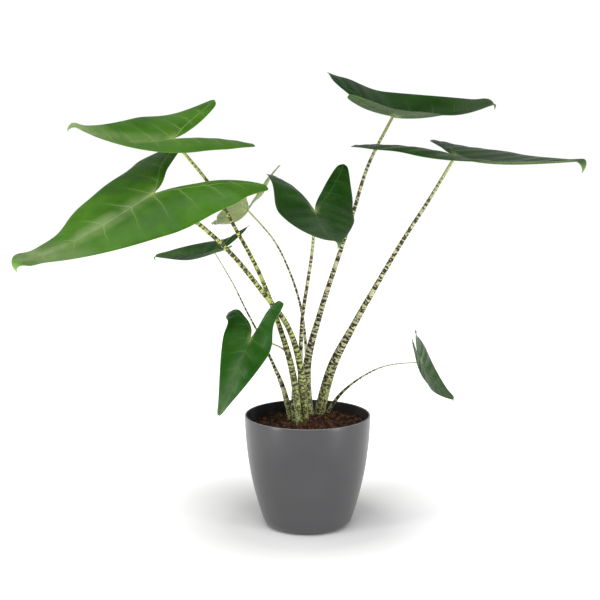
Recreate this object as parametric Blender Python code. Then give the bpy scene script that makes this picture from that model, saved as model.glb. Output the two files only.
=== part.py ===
# A zebra-stem alocasia in a thin tapered pot: nine arrow leaves on nine stalks, soil and corm.
# Metres, +Z up, the middle of the pot's flat foot at the origin, the front towards -Y.
import math

import bmesh
import bpy
import numpy as np
from mathutils import Vector
from mathutils.bvhtree import BVHTree

FIT_GAP = 0.0004
TURNS = 48

POT_RIM_RADIUS = 0.1013
POT_HEIGHT = 0.1815
POT_FOOT_RADIUS = 0.0688
POT_WALL = 0.0026
POT_FLOOR = 0.004
POT_FOOT_ROUNDING = 0.018
POT_FOOT_SWEEP = 72.0
POT_STATIONS = (0.020, 0.035, 0.055, 0.080, 0.105, 0.130, 0.150)

SOIL_LEVEL = 0.161
SOIL_TILT = 0.022
SOIL_MOUND = 0.008
SOIL_MOUND_CENTRE = (0.008, 0.038)
SOIL_MOUND_SPREAD = 0.034
SOIL_LUMP = 0.0012
SOIL_RINGS = 11

CORM_CENTRE = (0.002, 0.034, 0.126)
CORM_RADII = (0.045, 0.047, 0.024)
CORM_TOP = 0.1435
CORM_BANDS = 9
CORM_TURNS = 40

BLADE_THICKNESS = 0.0008
BLADE_CELLS_PER_SPAN = 2
BLADE_CELLS_ACROSS = 4
LOBE_CELLS_ACROSS = 2
TIP_HOOK_START = 0.90
LOBE_BLEND_START = -0.35
LOBE_BLEND_LENGTH = 0.50
SPLAY_BLEND = 0.30
BLUNT_PLACE = 0.93
BLUNT_SPREAD = 0.07

STALK_SIDES = 12
STALK_UPPER_RINGS = 13
STALK_UPPER_END = 5.0
STALK_LOWER_PLACES = (5.25, 5.5, 5.75, 6.0, 6.5, 7.0, 7.5, 8.0)
STALK_END_RINGS = 3
STALK_SWELL = (0.0, 0.05, 0.14, 0.26, 0.42, 0.80, 1.0)

# Half outline of a blade of unit length, from the tip round the shoulder to the rear lobe's tip.
MARGIN = (
    (1.000, 0.000),
    (0.945, 0.018),
    (0.840, 0.062),
    (0.670, 0.137),
    (0.480, 0.222),
    (0.290, 0.302),
    (0.100, 0.368),
    (-0.080, 0.392),
    (-0.270, 0.376),
    (-0.450, 0.328),
    (-0.602, 0.264),
    (-0.625, 0.205),
)
# Midrib back to the stalk, then the lobe's own main vein, station by station with the outline.
SPINE = (
    (1.000, 0.000),
    (0.900, 0.000),
    (0.760, 0.000),
    (0.560, 0.000),
    (0.360, 0.000),
    (0.160, 0.000),
    (0.000, 0.000),
    (-0.140, 0.075),
    (-0.280, 0.130),
    (-0.430, 0.175),
    (-0.550, 0.200),
    (-0.625, 0.205),
)
# Edge of the notch between the lobes, from the stalk to the lobe's tip.
NOTCH = (
    (0.000, 0.000),
    (-0.120, 0.022),
    (-0.270, 0.050),
    (-0.430, 0.092),
    (-0.585, 0.146),
    (-0.625, 0.205),
)
JOINT_STATION = 6

# Blades. Lengths in metres; heading, droop, roll, bends and folds in degrees; "arch" and "arch_end"
# bend the midrib, "fold" lifts each half at the front, "rear" each lobe, "curl" rounds each half,
# "blunt" widens the blade just behind its hooked tip.
BLADES = {
    "front_left": dict(
        joint=(-0.228, -0.130, 0.541), length=0.245, heading=-142.5, droop=27, roll=-10,
        width=0.95, lobe=0.85, splay=0.38, arch=12, arch_end=-38, hook=124,
        fold=(-8, 13), rear=(11, 11), curl=(-61, -33), lobe_bend=(52, 17), twist=-3, blunt=1.4,
    ),
    "upper_left": dict(
        joint=(-0.207, -0.045, 0.621), length=0.185, heading=-143.5, droop=9.5, roll=-19.5,
        width=1.04, lobe=1.00, splay=0.10, arch=-32, arch_end=-5, hook=92,
        fold=(14, 23), rear=(11, 16), curl=(-38, -56), lobe_bend=(32, -41), twist=-7, blunt=0.5,
    ),
    "centre": dict(
        joint=(0.010, -0.090, 0.515), length=0.177, heading=-84, droop=22.5, roll=-25.5,
        width=0.90, lobe=1.30, splay=0.14, arch=-19, arch_end=-11, hook=100,
        fold=(19, -9), rear=(16, 7), curl=(-20, -39), lobe_bend=(-33, 33), twist=4, blunt=0.4,
    ),
    "top_right": dict(
        joint=(0.137, 0.050, 0.658), length=0.214, heading=31.5, droop=6, roll=15.5,
        width=1.00, lobe=0.92, splay=0.00, arch=-47, arch_end=30, hook=94,
        fold=(21, 25), rear=(33, 14), curl=(-21, -18), lobe_bend=(-48, -20), twist=17, blunt=0.7,
    ),
    "right": dict(
        joint=(0.226, -0.040, 0.596), length=0.255, heading=-53.5, droop=12, roll=-4,
        width=0.97, lobe=0.88, splay=0.21, arch=-39, arch_end=26, hook=110,
        fold=(14, 7), rear=(8, 4), curl=(-18, -42), lobe_bend=(4, 29), twist=5, blunt=0.7,
    ),
    "lower_left": dict(
        joint=(-0.090, -0.030, 0.310), length=0.139, heading=-134, droop=58.5, roll=-47.5,
        width=0.81, lobe=1.09, splay=0.56, arch=26, arch_end=6, hook=73,
        fold=(46, 10), rear=(86, -13), curl=(-94, -83), lobe_bend=(-48, 81), twist=-16, blunt=0.3,
    ),
    "back_left": dict(
        joint=(-0.154, 0.080, 0.436), length=0.133, heading=147.5, droop=12, roll=-18,
        width=1.07, lobe=0.77, splay=0.08, arch=-29, arch_end=25, hook=92,
        fold=(21, 18), rear=(20, 29), curl=(-40, -63), lobe_bend=(-13, -49), twist=-8, blunt=0.3,
    ),
    "back": dict(
        joint=(-0.100, 0.110, 0.504), length=0.125, heading=116, droop=33, roll=-27.5,
        width=1.15, lobe=1.06, splay=0.22, arch=-41, arch_end=-8, hook=91,
        fold=(30, 24), rear=(19, 33), curl=(-27, -44), lobe_bend=(-2, 7), twist=-4, blunt=0.3,
    ),
    "lower_right": dict(
        joint=(0.185, 0.020, 0.262), length=0.115, heading=62, droop=50.5, roll=71.5,
        width=0.97, lobe=0.90, splay=-0.21, arch=-43, arch_end=9, hook=88,
        fold=(14, 18), rear=(5, 3), curl=(-32, -19), lobe_bend=(-22, 2), twist=10, blunt=0.3,
    ),
}

# Stalks, from the blade's joint down to the soil; radius at the top and at the soil.
STALKS = {
    "front_left": dict(
        radius=(0.0031, 0.0062),
        path=(
            (-0.168, -0.098, 0.499), (-0.118, -0.068, 0.449), (-0.073, -0.041, 0.389),
            (-0.0305, -0.018, 0.325), (-0.010, 0.000, 0.248), (-0.004, 0.0125, 0.163),
        ),
    ),
    "upper_left": dict(
        radius=(0.0024, 0.0062),
        path=(
            (-0.1515, -0.035, 0.552), (-0.1125, -0.026, 0.483), (-0.0755, -0.018, 0.4105),
            (-0.047, -0.009, 0.332), (-0.0245, 0.000, 0.251), (-0.0135, 0.0025, 0.163),
        ),
    ),
    "centre": dict(
        radius=(0.0024, 0.0050),
        path=(
            (0.007, -0.063, 0.457), (0.000, -0.037, 0.402), (-0.008, -0.013, 0.345),
            (-0.011, 0.008, 0.286), (-0.0115, 0.024, 0.226), (-0.009, 0.028, 0.164),
        ),
    ),
    "top_right": dict(
        radius=(0.0024, 0.0080),
        path=(
            (0.0975, 0.048, 0.579), (0.0725, 0.046, 0.499), (0.046, 0.043, 0.419),
            (0.0198, 0.040, 0.337), (-0.0005, 0.038, 0.253), (0.003, 0.037, 0.165),
        ),
    ),
    "right": dict(
        radius=(0.0024, 0.0095),
        path=(
            (0.187, -0.022, 0.5255), (0.149, -0.004, 0.461), (0.1125, 0.013, 0.3935),
            (0.0755, 0.028, 0.323), (0.0405, 0.041, 0.250), (0.019, 0.051, 0.166),
        ),
    ),
    "lower_left": dict(
        radius=(0.0012, 0.0036),
        path=(
            (-0.061, -0.020, 0.302), (-0.0355, 0.005, 0.283), (-0.0245, 0.016, 0.254),
            (-0.0235, 0.0155, 0.224), (-0.0235, 0.0155, 0.195), (-0.0215, 0.0165, 0.162),
        ),
    ),
    "back_left": dict(
        radius=(0.0008, 0.0052),
        path=(
            (-0.124, 0.071, 0.386), (-0.102, 0.062, 0.343), (-0.079, 0.054, 0.300),
            (-0.058, 0.047, 0.257), (-0.0395, 0.040, 0.213), (-0.027, 0.034, 0.162),
        ),
    ),
    "back": dict(
        radius=(0.0014, 0.0041),
        path=(
            (-0.0563, 0.099, 0.4545), (-0.029, 0.088, 0.401), (-0.0112, 0.077, 0.345),
            (-0.003, 0.067, 0.286), (-0.0008, 0.058, 0.225), (-0.002, 0.051, 0.165),
        ),
    ),
    "lower_right": dict(
        radius=(0.0008, 0.0034),
        path=(
            (0.149, 0.030, 0.2578), (0.122, 0.040, 0.250), (0.0965, 0.049, 0.2355),
            (0.073, 0.056, 0.2175), (0.0515, 0.062, 0.195), (0.034, 0.067, 0.166),
        ),
    ),
}

COLOURS = {
    "pot": (0.105, 0.110, 0.118, 1.0),
    "soil": (0.075, 0.038, 0.022, 1.0),
    "corm": (0.180, 0.110, 0.060, 1.0),
    "light_blade": (0.085, 0.230, 0.035, 1.0),
    "dark_blade": (0.030, 0.105, 0.032, 1.0),
    "stalk": (0.420, 0.430, 0.190, 1.0),
}
LIGHT_BLADES = ("front_left", "upper_left", "back")


def clear_scene():
    for item in list(bpy.data.objects):
        bpy.data.objects.remove(item, do_unlink=True)


def finish_node(name, mesh, colour, roughness):
    material = bpy.data.materials.new(name + "_surface")
    material.use_nodes = True
    shader = material.node_tree.nodes["Principled BSDF"]
    shader.inputs["Base Color"].default_value = colour
    shader.inputs["Roughness"].default_value = roughness
    mesh.materials.append(material)
    for face in mesh.polygons:
        face.use_smooth = True
    node = bpy.data.objects.new(name, mesh)
    bpy.context.scene.collection.objects.link(node)
    return node


def mesh_from(name, points, faces):
    mesh = bpy.data.meshes.new(name)
    mesh.from_pydata([tuple(float(c) for c in p) for p in points], [], faces)
    work = bmesh.new()
    work.from_mesh(mesh)
    bmesh.ops.recalc_face_normals(work, faces=work.faces)
    bmesh.ops.triangulate(work, faces=work.faces)
    work.to_mesh(mesh)
    work.free()
    return mesh


def smooth_step(value):
    held = np.clip(value, 0.0, 1.0)
    return held * held * (3.0 - 2.0 * held)


def through_points(points, places):
    knots = np.asarray(points, float)
    first = 2.0 * knots[0] - knots[1]
    last = 2.0 * knots[-1] - knots[-2]
    padded = np.vstack([first, knots, last])
    span = np.clip(np.asarray(places, float), 0.0, len(knots) - 1.000001)
    index = span.astype(int)
    t = (span - index)[:, None]
    a = padded[index]
    b = padded[index + 1]
    c = padded[index + 2]
    d = padded[index + 3]
    cubic = 3.0 * b - a - 3.0 * c + d
    square = 2.0 * a - 5.0 * b + 4.0 * c - d
    return 0.5 * (2.0 * b + (c - a) * t + square * t ** 2 + cubic * t ** 3)


def turned(name, profile, colour, roughness):
    points = []
    faces = []
    rings = []
    for radius, height in profile:
        if radius < 1e-6:
            rings.append([len(points)])
            points.append((0.0, 0.0, height))
            continue
        ring = []
        for turn in range(TURNS):
            angle = 2.0 * math.pi * turn / TURNS
            ring.append(len(points))
            points.append((radius * math.cos(angle), radius * math.sin(angle), height))
        rings.append(ring)
    for lower, upper in zip(rings, rings[1:]):
        faces.extend(ring_band(lower, upper))
    return finish_node(name, mesh_from(name, points, faces), colour, roughness)


def ring_band(lower, upper):
    count = max(len(lower), len(upper))
    faces = []
    for turn in range(count):
        after = (turn + 1) % count
        if len(lower) == 1:
            faces.append((lower[0], upper[turn], upper[after]))
        elif len(upper) == 1:
            faces.append((lower[turn], upper[0], lower[after]))
        else:
            faces.append((lower[turn], upper[turn], upper[after], lower[after]))
    return faces


def pot_radius(height):
    share = 1.0 - height / POT_HEIGHT
    return POT_RIM_RADIUS - (POT_RIM_RADIUS - POT_FOOT_RADIUS) * share ** 2


def rounded_corner(height, inset, reach, steps):
    """An arc from the flat floor up to the leaning wall, which it meets without a crease."""
    sweep = math.radians(POT_FOOT_SWEEP)
    end = height + reach * (1.0 - math.cos(sweep))
    centre = pot_radius(end) - inset - reach * math.sin(sweep)
    corner = []
    for step in range(steps + 1):
        angle = sweep * step / steps
        corner.append((centre + reach * math.sin(angle), height + reach * (1.0 - math.cos(angle))))
    return corner


def make_pot():
    profile = [(0.0, 0.0), (0.5 * POT_FOOT_RADIUS, 0.0)]
    profile += rounded_corner(0.0, 0.0, POT_FOOT_ROUNDING, 5)
    profile += [(pot_radius(z), z) for z in POT_STATIONS]
    profile.append((pot_radius(SOIL_LEVEL), SOIL_LEVEL))
    lip = 0.5 * POT_WALL
    middle = POT_HEIGHT - lip
    for step in range(7):
        angle = math.pi * step / 6
        centre = pot_radius(middle) - lip
        profile.append((centre + lip * math.cos(angle), middle + lip * math.sin(angle)))
    profile.append((pot_radius(SOIL_LEVEL) - POT_WALL, SOIL_LEVEL))
    profile += [(pot_radius(z) - POT_WALL, z) for z in reversed(POT_STATIONS)]
    profile += reversed(rounded_corner(POT_FLOOR, POT_WALL, POT_FOOT_ROUNDING, 4))
    profile += [(0.5 * POT_FOOT_RADIUS, POT_FLOOR), (0.0, POT_FLOOR)]
    turned("pot", profile, COLOURS["pot"], 0.42)


def soil_height(x, y):
    away = (x - SOIL_MOUND_CENTRE[0]) ** 2 + (y - SOIL_MOUND_CENTRE[1]) ** 2
    mound = SOIL_MOUND * math.exp(-away / (2.0 * SOIL_MOUND_SPREAD ** 2)) + SOIL_TILT * x
    lumps = math.sin(310.0 * x + 1.3) * math.sin(270.0 * y + 0.4)
    lumps += 0.6 * math.sin(520.0 * x - 410.0 * y)
    return SOIL_LEVEL + mound + SOIL_LUMP * lumps


def soil_profile_rings(points):
    rings = []
    edge = pot_radius(SOIL_LEVEL) - POT_WALL - FIT_GAP
    for ring in range(SOIL_RINGS):
        radius = edge * ring / SOIL_RINGS
        count = TURNS if ring else 1
        indices = []
        for turn in range(count):
            angle = 2.0 * math.pi * turn / TURNS
            x = radius * math.cos(angle)
            y = radius * math.sin(angle)
            indices.append(len(points))
            points.append((x, y, soil_height(x, y)))
        rings.append(indices)
    rings.append(soil_edge_ring(points, edge))
    return rings


def soil_edge_ring(points, edge):
    indices = []
    for turn in range(TURNS):
        angle = 2.0 * math.pi * turn / TURNS
        height = SOIL_LEVEL + SOIL_TILT * edge * math.cos(angle)
        radius = pot_radius(height) - POT_WALL - FIT_GAP
        indices.append(len(points))
        points.append((radius * math.cos(angle), radius * math.sin(angle), height))
    return indices


def make_soil(cutters):
    points = []
    rings = soil_profile_rings(points)
    profile = [(pot_radius(z) - POT_WALL - FIT_GAP, z) for z in reversed(POT_STATIONS)]
    floor = POT_FLOOR + FIT_GAP
    corner = rounded_corner(floor, POT_WALL + FIT_GAP, POT_FOOT_ROUNDING, 4)
    profile += [(radius - 0.0002, height) for radius, height in reversed(corner)]
    profile += [(0.5 * POT_FOOT_RADIUS, floor), (0.0, floor)]
    for radius, height in profile:
        count = TURNS if radius > 1e-6 else 1
        ring = []
        for turn in range(count):
            angle = 2.0 * math.pi * turn / TURNS
            ring.append(len(points))
            points.append((radius * math.cos(angle), radius * math.sin(angle), height))
        rings.append(ring)
    faces = []
    for lower, upper in zip(rings, rings[1:]):
        faces.extend(ring_band(lower, upper))
    soil = finish_node("soil", mesh_from("soil", points, faces), COLOURS["soil"], 0.95)
    for cutter in cutters:
        cut = soil.modifiers.new("room_for_" + cutter.name, "BOOLEAN")
        cut.operation = "DIFFERENCE"
        cut.solver = "EXACT"
        cut.object = cutter


def corm_points(clearance):
    points = []
    rings = []
    top = CORM_TOP + clearance
    bottom = CORM_CENTRE[2] - CORM_RADII[2] - clearance
    for band in range(CORM_BANDS + 1):
        height = bottom + (top - bottom) * smooth_step(band / CORM_BANDS * 0.94)
        if band == CORM_BANDS:
            height = top
        rise = (height - CORM_CENTRE[2]) / (CORM_RADII[2] + clearance)
        share = math.sqrt(max(0.0, 1.0 - rise ** 2))
        if band == 0:
            rings.append([len(points)])
            points.append((CORM_CENTRE[0], CORM_CENTRE[1], bottom))
            continue
        ring = []
        for turn in range(CORM_TURNS):
            angle = 2.0 * math.pi * turn / CORM_TURNS
            x = (CORM_RADII[0] + clearance) * share * math.cos(angle)
            y = (CORM_RADII[1] + clearance) * share * math.sin(angle)
            ring.append(len(points))
            points.append((CORM_CENTRE[0] + x, CORM_CENTRE[1] + y, height))
        rings.append(ring)
    rings.append([len(points)])
    points.append((CORM_CENTRE[0], CORM_CENTRE[1], top))
    faces = []
    for lower, upper in zip(rings, rings[1:]):
        faces.extend(ring_band(lower, upper))
    return points, faces


def make_corm():
    points, faces = corm_points(0.0)
    finish_node("corm", mesh_from("corm", points, faces), COLOURS["corm"], 0.85)


def as_cutter(node):
    node.hide_render = True
    node.display_type = "WIRE"
    return node


def corm_cutter():
    points, faces = corm_points(FIT_GAP)
    mesh = mesh_from("corm_room", points, faces)
    return as_cutter(finish_node("corm_room", mesh, COLOURS["soil"], 0.95))


def blade_frame(blade):
    heading = math.radians(blade["heading"])
    droop = math.radians(blade["droop"])
    roll = math.radians(blade["roll"])
    turn = np.array([
        [math.cos(heading), -math.sin(heading), 0.0],
        [math.sin(heading), math.cos(heading), 0.0],
        [0.0, 0.0, 1.0],
    ])
    dip = np.array([
        [math.cos(droop), 0.0, math.sin(droop)],
        [0.0, 1.0, 0.0],
        [-math.sin(droop), 0.0, math.cos(droop)],
    ])
    lean = np.array([
        [1.0, 0.0, 0.0],
        [0.0, math.cos(roll), -math.sin(roll)],
        [0.0, math.sin(roll), math.cos(roll)],
    ])
    return turn @ dip @ lean


def midrib_bend(blade, side):
    along = np.linspace(-1.0, 1.0, 401)
    tip = smooth_step((along - TIP_HOOK_START) / (1.0 - TIP_HOOK_START))
    front = blade["arch"] * along + blade["arch_end"] * along ** 2 + blade["hook"] * tip
    rear = blade["lobe_bend"][side] * along
    angle = np.radians(np.where(along >= 0.0, front, rear))
    half = 0.5 * (angle[1:] + angle[:-1])
    step = along[1] - along[0]
    forward = np.concatenate([[0.0], np.cumsum(np.cos(half)) * step])
    down = np.concatenate([[0.0], np.cumsum(np.sin(half)) * step])
    middle = len(along) // 2
    return along, forward - forward[middle], down[middle] - down, angle


def bent_blade(blade, flat, side):
    """Bend flat outline points (side 0 is the left half, 1 the right) into place."""
    x = flat[:, 0].copy()
    behind = np.clip(-x, 0.0, None)
    tip = np.exp(-((x - BLUNT_PLACE) / BLUNT_SPREAD) ** 2)
    y = flat[:, 1] * blade["width"] * (1.0 + blade["blunt"] * tip)
    y = y + blade["splay"] * behind * smooth_step(behind / SPLAY_BLEND)
    x = np.where(x < 0.0, x * blade["lobe"], x)
    along, forward, rise, angle = midrib_bend(blade, side)
    base_x = np.interp(x, along, forward)
    base_z = np.interp(x, along, rise)
    pitch = np.interp(x, along, angle)
    front = smooth_step((x - LOBE_BLEND_START) / LOBE_BLEND_LENGTH)
    fold = blade["fold"][side] * front + blade["rear"][side] * (1.0 - front)
    fold = np.radians(fold)
    curl = math.radians(blade["curl"][side])
    out = (np.sin(fold + curl * y) - np.sin(fold)) / curl
    lift = (np.cos(fold) - np.cos(fold + curl * y)) / curl
    hand = 1.0 if side == 0 else -1.0
    twist = math.radians(blade["twist"]) * x
    across = hand * out * np.cos(twist) - lift * np.sin(twist)
    up = hand * out * np.sin(twist) + lift * np.cos(twist)
    local = np.stack([base_x + up * np.sin(pitch), across, base_z + up * np.cos(pitch)], -1)
    return np.array(blade["joint"]) + blade["length"] * local @ blade_frame(blade).T


def half_blade(blade, side, welded, points):
    """Grids of vertex indices for the outer and the notch strip of one half."""
    spans = (len(MARGIN) - 1) * BLADE_CELLS_PER_SPAN
    places = np.arange(spans + 1) / BLADE_CELLS_PER_SPAN
    margin = through_points(MARGIN, places)
    spine = through_points(SPINE, places)
    spine[places <= JOINT_STATION, 1] = 0.0
    spine[places == JOINT_STATION] = 0.0
    notch = through_points(NOTCH, places[places >= JOINT_STATION] - JOINT_STATION)
    grids = []
    first = JOINT_STATION * BLADE_CELLS_PER_SPAN
    strips = ((spine, margin, BLADE_CELLS_ACROSS, 0), (spine[first:], notch, LOBE_CELLS_ACROSS, first))
    for inner, outer, cells, offset in strips:
        grid = []
        for row in range(len(inner)):
            station = offset + row
            column = []
            for cell in range(cells + 1):
                closed = np.allclose(inner[row], outer[row], atol=1e-4)
                key = blade_key(station, cell, closed, spans, first, side, offset)
                if key not in welded:
                    share = 0.0 if closed else cell / cells
                    flat = inner[row] * (1.0 - share) + outer[row] * share
                    welded[key] = len(points)
                    points.append(bent_blade(blade, flat[None, :], side)[0])
                column.append(welded[key])
            grid.append(column)
        grids.append(grid)
    return grids


def blade_key(station, cell, closed, spans, first, side, offset):
    if station == 0:
        return ("tip",)
    if station == spans:
        return ("lobe", side)
    if station <= first and (cell == 0 or closed):
        return ("midrib", station)
    if cell == 0:
        return ("vein", side, station)
    return ("sheet", side, offset > 0, station, cell)


def grid_faces(grid, flip):
    faces = []
    for row, after in zip(grid, grid[1:]):
        for cell in range(len(row) - 1):
            loop = [row[cell], row[cell + 1], after[cell + 1], after[cell]]
            loop = [v for i, v in enumerate(loop) if v != loop[i - 1]]
            if len(set(loop)) < 3:
                continue
            faces.append(loop[::-1] if flip else loop)
    return faces


def thicken(name, points, faces):
    sheet = bpy.data.meshes.new(name + "_sheet")
    sheet.from_pydata([tuple(p) for p in points], [], faces)
    work = bmesh.new()
    work.from_mesh(sheet)
    bmesh.ops.triangulate(work, faces=work.faces)
    work.normal_update()
    work.verts.ensure_lookup_table()
    upper = [v.co.copy() for v in work.verts]
    lower = [v.co - v.normal * BLADE_THICKNESS for v in work.verts]
    triangles = [[v.index for v in f.verts] for f in work.faces]
    rim = []
    for edge in work.edges:
        if not edge.is_boundary:
            continue
        loop = edge.link_loops[0]
        rim.append((loop.vert.index, loop.link_loop_next.vert.index))
    work.free()
    bpy.data.meshes.remove(sheet)
    count = len(upper)
    solid = [tuple(t) for t in triangles]
    solid += [tuple(count + i for i in reversed(t)) for t in triangles]
    solid += [(b, a, count + a, count + b) for a, b in rim]
    return mesh_from(name, upper + lower, solid)


def make_blade(key, blade):
    name = "blade_" + key
    points = []
    welded = {}
    faces = []
    for side in (0, 1):
        outer, notch = half_blade(blade, side, welded, points)
        faces.extend(grid_faces(outer, side == 0))
        faces.extend(grid_faces(notch, side == 1))
    colour = COLOURS["light_blade"] if key in LIGHT_BLADES else COLOURS["dark_blade"]
    return finish_node(name, thicken(name, points, faces), colour, 0.38)


def stalk_radius(stalk, share):
    top, base = stalk["radius"]
    places = np.linspace(0.0, 1.0, len(STALK_SWELL))
    return top + (base - top) * float(np.interp(share, places, STALK_SWELL))


def stalk_line(stalk):
    x, y, z = stalk["path"][-1]
    seat = CORM_TOP + FIT_GAP
    return [stalk["joint"], *stalk["path"], (x, y, 0.5 * (z + seat)), (x, y, seat)]


def stalk_centre(stalk, place):
    """A curve down to the soil, then straight down to the corm."""
    knots = stalk_line(stalk)
    soil_place = len(stalk["path"])
    if place <= soil_place:
        return through_points(knots, [place])[0]
    start = np.array(knots[soil_place])
    seat = np.array(knots[-1])
    return start + (seat - start) * (place - soil_place) / (len(knots) - 1 - soil_place)


def ring_points(centre, tangent, radius, sides):
    ahead = Vector(tangent).normalized()
    across = ahead.cross(Vector((0.0, 1.0, 0.0))).normalized()
    up = across.cross(ahead)
    reach = float(radius)
    ring = []
    for turn in range(sides):
        angle = 2.0 * math.pi * turn / sides
        ring.append(Vector(centre) + reach * (math.cos(angle) * across + math.sin(angle) * up))
    return ring


def stalk_rings(stalk, start, clearance):
    soil_place = len(stalk["path"])
    places = [STALK_UPPER_END]
    if start < STALK_UPPER_END:
        places = list(np.linspace(start, STALK_UPPER_END, STALK_UPPER_RINGS))
    places += STALK_LOWER_PLACES
    rings = []
    for place in places:
        centre = stalk_centre(stalk, place)
        tangent = stalk_centre(stalk, place + 0.05) - stalk_centre(stalk, max(0.0, place - 0.05))
        if place >= soil_place:
            tangent = np.array([0.0, 0.0, -1.0])
        radius = stalk_radius(stalk, min(1.0, place / soil_place)) + clearance
        rings.append((centre, tangent, radius))
    centre, tangent, radius = rings[0]
    ahead = tangent / np.linalg.norm(tangent)
    for step in range(1, STALK_END_RINGS + 1):
        angle = 0.5 * math.pi * step / (STALK_END_RINGS + 1)
        shift = centre - ahead * radius * math.sin(angle)
        rings.insert(0, (shift, tangent, radius * math.cos(angle)))
    return rings


def blade_tree(blade_node):
    work = bmesh.new()
    work.from_mesh(blade_node.data)
    tree = BVHTree.FromBMesh(work)
    work.free()
    return tree


def seated_start(stalk, tree):
    """Slide the stalk's rounded end up its own line until it just clears the blade."""
    for step in range(400):
        start = step * 0.0025
        nearest = 1.0
        for centre, tangent, radius in stalk_rings(stalk, start, 0.0)[:8]:
            for point in ring_points(centre, tangent, radius, STALK_SIDES):
                distance = tree.find_nearest(point)[3]
                nearest = min(nearest, distance)
        if nearest > FIT_GAP:
            return start
    return 0.0


def stalk_mesh(name, stalk, start, clearance, drop):
    points = []
    rings = []
    for centre, tangent, radius in stalk_rings(stalk, start, clearance):
        rings.append(list(range(len(points), len(points) + STALK_SIDES)))
        points.extend(ring_points(centre, tangent, radius, STALK_SIDES))
    for index in rings[-1]:
        points[index] = points[index] - Vector((0.0, 0.0, drop))
    faces = []
    for lower, upper in zip(rings, rings[1:]):
        faces.extend(ring_band(lower, upper))
    faces.append(tuple(rings[0]))
    faces.append(tuple(reversed(rings[-1])))
    return mesh_from(name, points, faces)


def make_stalk(key, stalk, blade_node):
    start = seated_start(stalk, blade_tree(blade_node))
    mesh = stalk_mesh("stalk_" + key, stalk, start, 0.0, 0.0)
    finish_node("stalk_" + key, mesh, COLOURS["stalk"], 0.45)
    cutter = stalk_mesh("room_" + key, stalk, STALK_UPPER_END, FIT_GAP, 0.002)
    return as_cutter(finish_node("room_" + key, cutter, COLOURS["soil"], 0.95))


def main():
    clear_scene()
    make_pot()
    make_corm()
    cutters = [corm_cutter()]
    for key, blade in BLADES.items():
        node = make_blade(key, blade)
        stalk = dict(STALKS[key], joint=blade["joint"])
        cutters.append(make_stalk(key, stalk, node))
    make_soil(cutters)


main()
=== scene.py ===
import math
import random

import bmesh
import bpy
import numpy as np
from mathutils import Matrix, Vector


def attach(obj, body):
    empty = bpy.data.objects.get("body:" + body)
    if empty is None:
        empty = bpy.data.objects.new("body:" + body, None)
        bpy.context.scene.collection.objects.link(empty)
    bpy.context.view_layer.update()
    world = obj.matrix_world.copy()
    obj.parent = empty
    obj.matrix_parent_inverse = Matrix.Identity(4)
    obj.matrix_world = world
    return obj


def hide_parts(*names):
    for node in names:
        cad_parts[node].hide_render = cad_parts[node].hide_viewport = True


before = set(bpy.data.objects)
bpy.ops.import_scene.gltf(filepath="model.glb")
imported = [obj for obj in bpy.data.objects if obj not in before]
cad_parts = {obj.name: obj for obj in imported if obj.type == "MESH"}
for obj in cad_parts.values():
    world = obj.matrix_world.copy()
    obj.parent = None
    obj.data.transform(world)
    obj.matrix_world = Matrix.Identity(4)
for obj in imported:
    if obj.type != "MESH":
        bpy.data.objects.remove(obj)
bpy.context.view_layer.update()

scene = bpy.context.scene
scene.view_settings.view_transform = "Standard"
random.seed(41)


def newMaterial(name):
    material = bpy.data.materials.new(name)
    material.use_nodes = True
    return material, material.node_tree, material.node_tree.nodes["Principled BSDF"]


def addNode(tree, kind, **settings):
    node = tree.nodes.new(kind)
    for key, value in settings.items():
        if key in node.inputs:
            node.inputs[key].default_value = value
        else:
            setattr(node, key, value)
    return node


def mathNode(tree, operation, first, second=None, third=None, clamp=False):
    node = tree.nodes.new("ShaderNodeMath")
    node.operation = operation
    node.use_clamp = clamp
    for socket, value in zip(node.inputs, (first, second, third)):
        if value is None:
            continue
        if isinstance(value, (int, float)):
            socket.default_value = value
        else:
            tree.links.new(value, socket)
    return node.outputs[0]


def times(tree, first, second):
    return mathNode(tree, "MULTIPLY", first, second)


def slope(tree, value, rise, start):
    return mathNode(tree, "MULTIPLY_ADD", value, rise, start, clamp=True)


def above(tree, value, level, rise):
    return mathNode(tree, "MULTIPLY", mathNode(tree, "SUBTRACT", value, level), rise, clamp=True)


def nearTo(tree, gap, reach):
    # 1 on the line, down to 0 at the reach
    return mathNode(tree, "SUBTRACT", 1.0, mathNode(tree, "DIVIDE", gap, reach, clamp=True))


def mixColour(tree, factor, first, second):
    node = tree.nodes.new("ShaderNodeMix")
    node.data_type = "RGBA"
    for socket, value in zip((node.inputs[0], node.inputs[6], node.inputs[7]), (factor, first, second)):
        if isinstance(value, (int, float, tuple)):
            socket.default_value = value
        else:
            tree.links.new(value, socket)
    return node.outputs[2]


def ramp(tree, factor, stops):
    node = tree.nodes.new("ShaderNodeValToRGB")
    marks = node.color_ramp.elements
    while len(marks) < len(stops):
        marks.new(0.5)
    for mark, (place, colour) in zip(marks, stops):
        mark.position = place
        mark.color = colour if len(colour) == 4 else (*colour, 1.0)
    tree.links.new(factor, node.inputs["Fac"])
    return node.outputs["Color"]


def attribute(tree, name):
    return addNode(tree, "ShaderNodeAttribute", attribute_name=name).outputs["Fac"]


def noise(tree, vector, scale, detail=3.0, roughness=0.5, distortion=0.0):
    node = addNode(tree, "ShaderNodeTexNoise", Scale=scale, Detail=detail,
                   Roughness=roughness, Distortion=distortion)
    tree.links.new(vector, node.inputs["Vector"])
    return node.outputs["Fac"]


def objectPlace(tree):
    return tree.nodes.new("ShaderNodeTexCoord").outputs["Object"]


def bump(tree, shader, height, distance, strength=1.0):
    node = addNode(tree, "ShaderNodeBump", Strength=strength, Distance=distance)
    tree.links.new(height, node.inputs["Height"])
    tree.links.new(node.outputs["Normal"], shader.inputs["Normal"])


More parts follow.
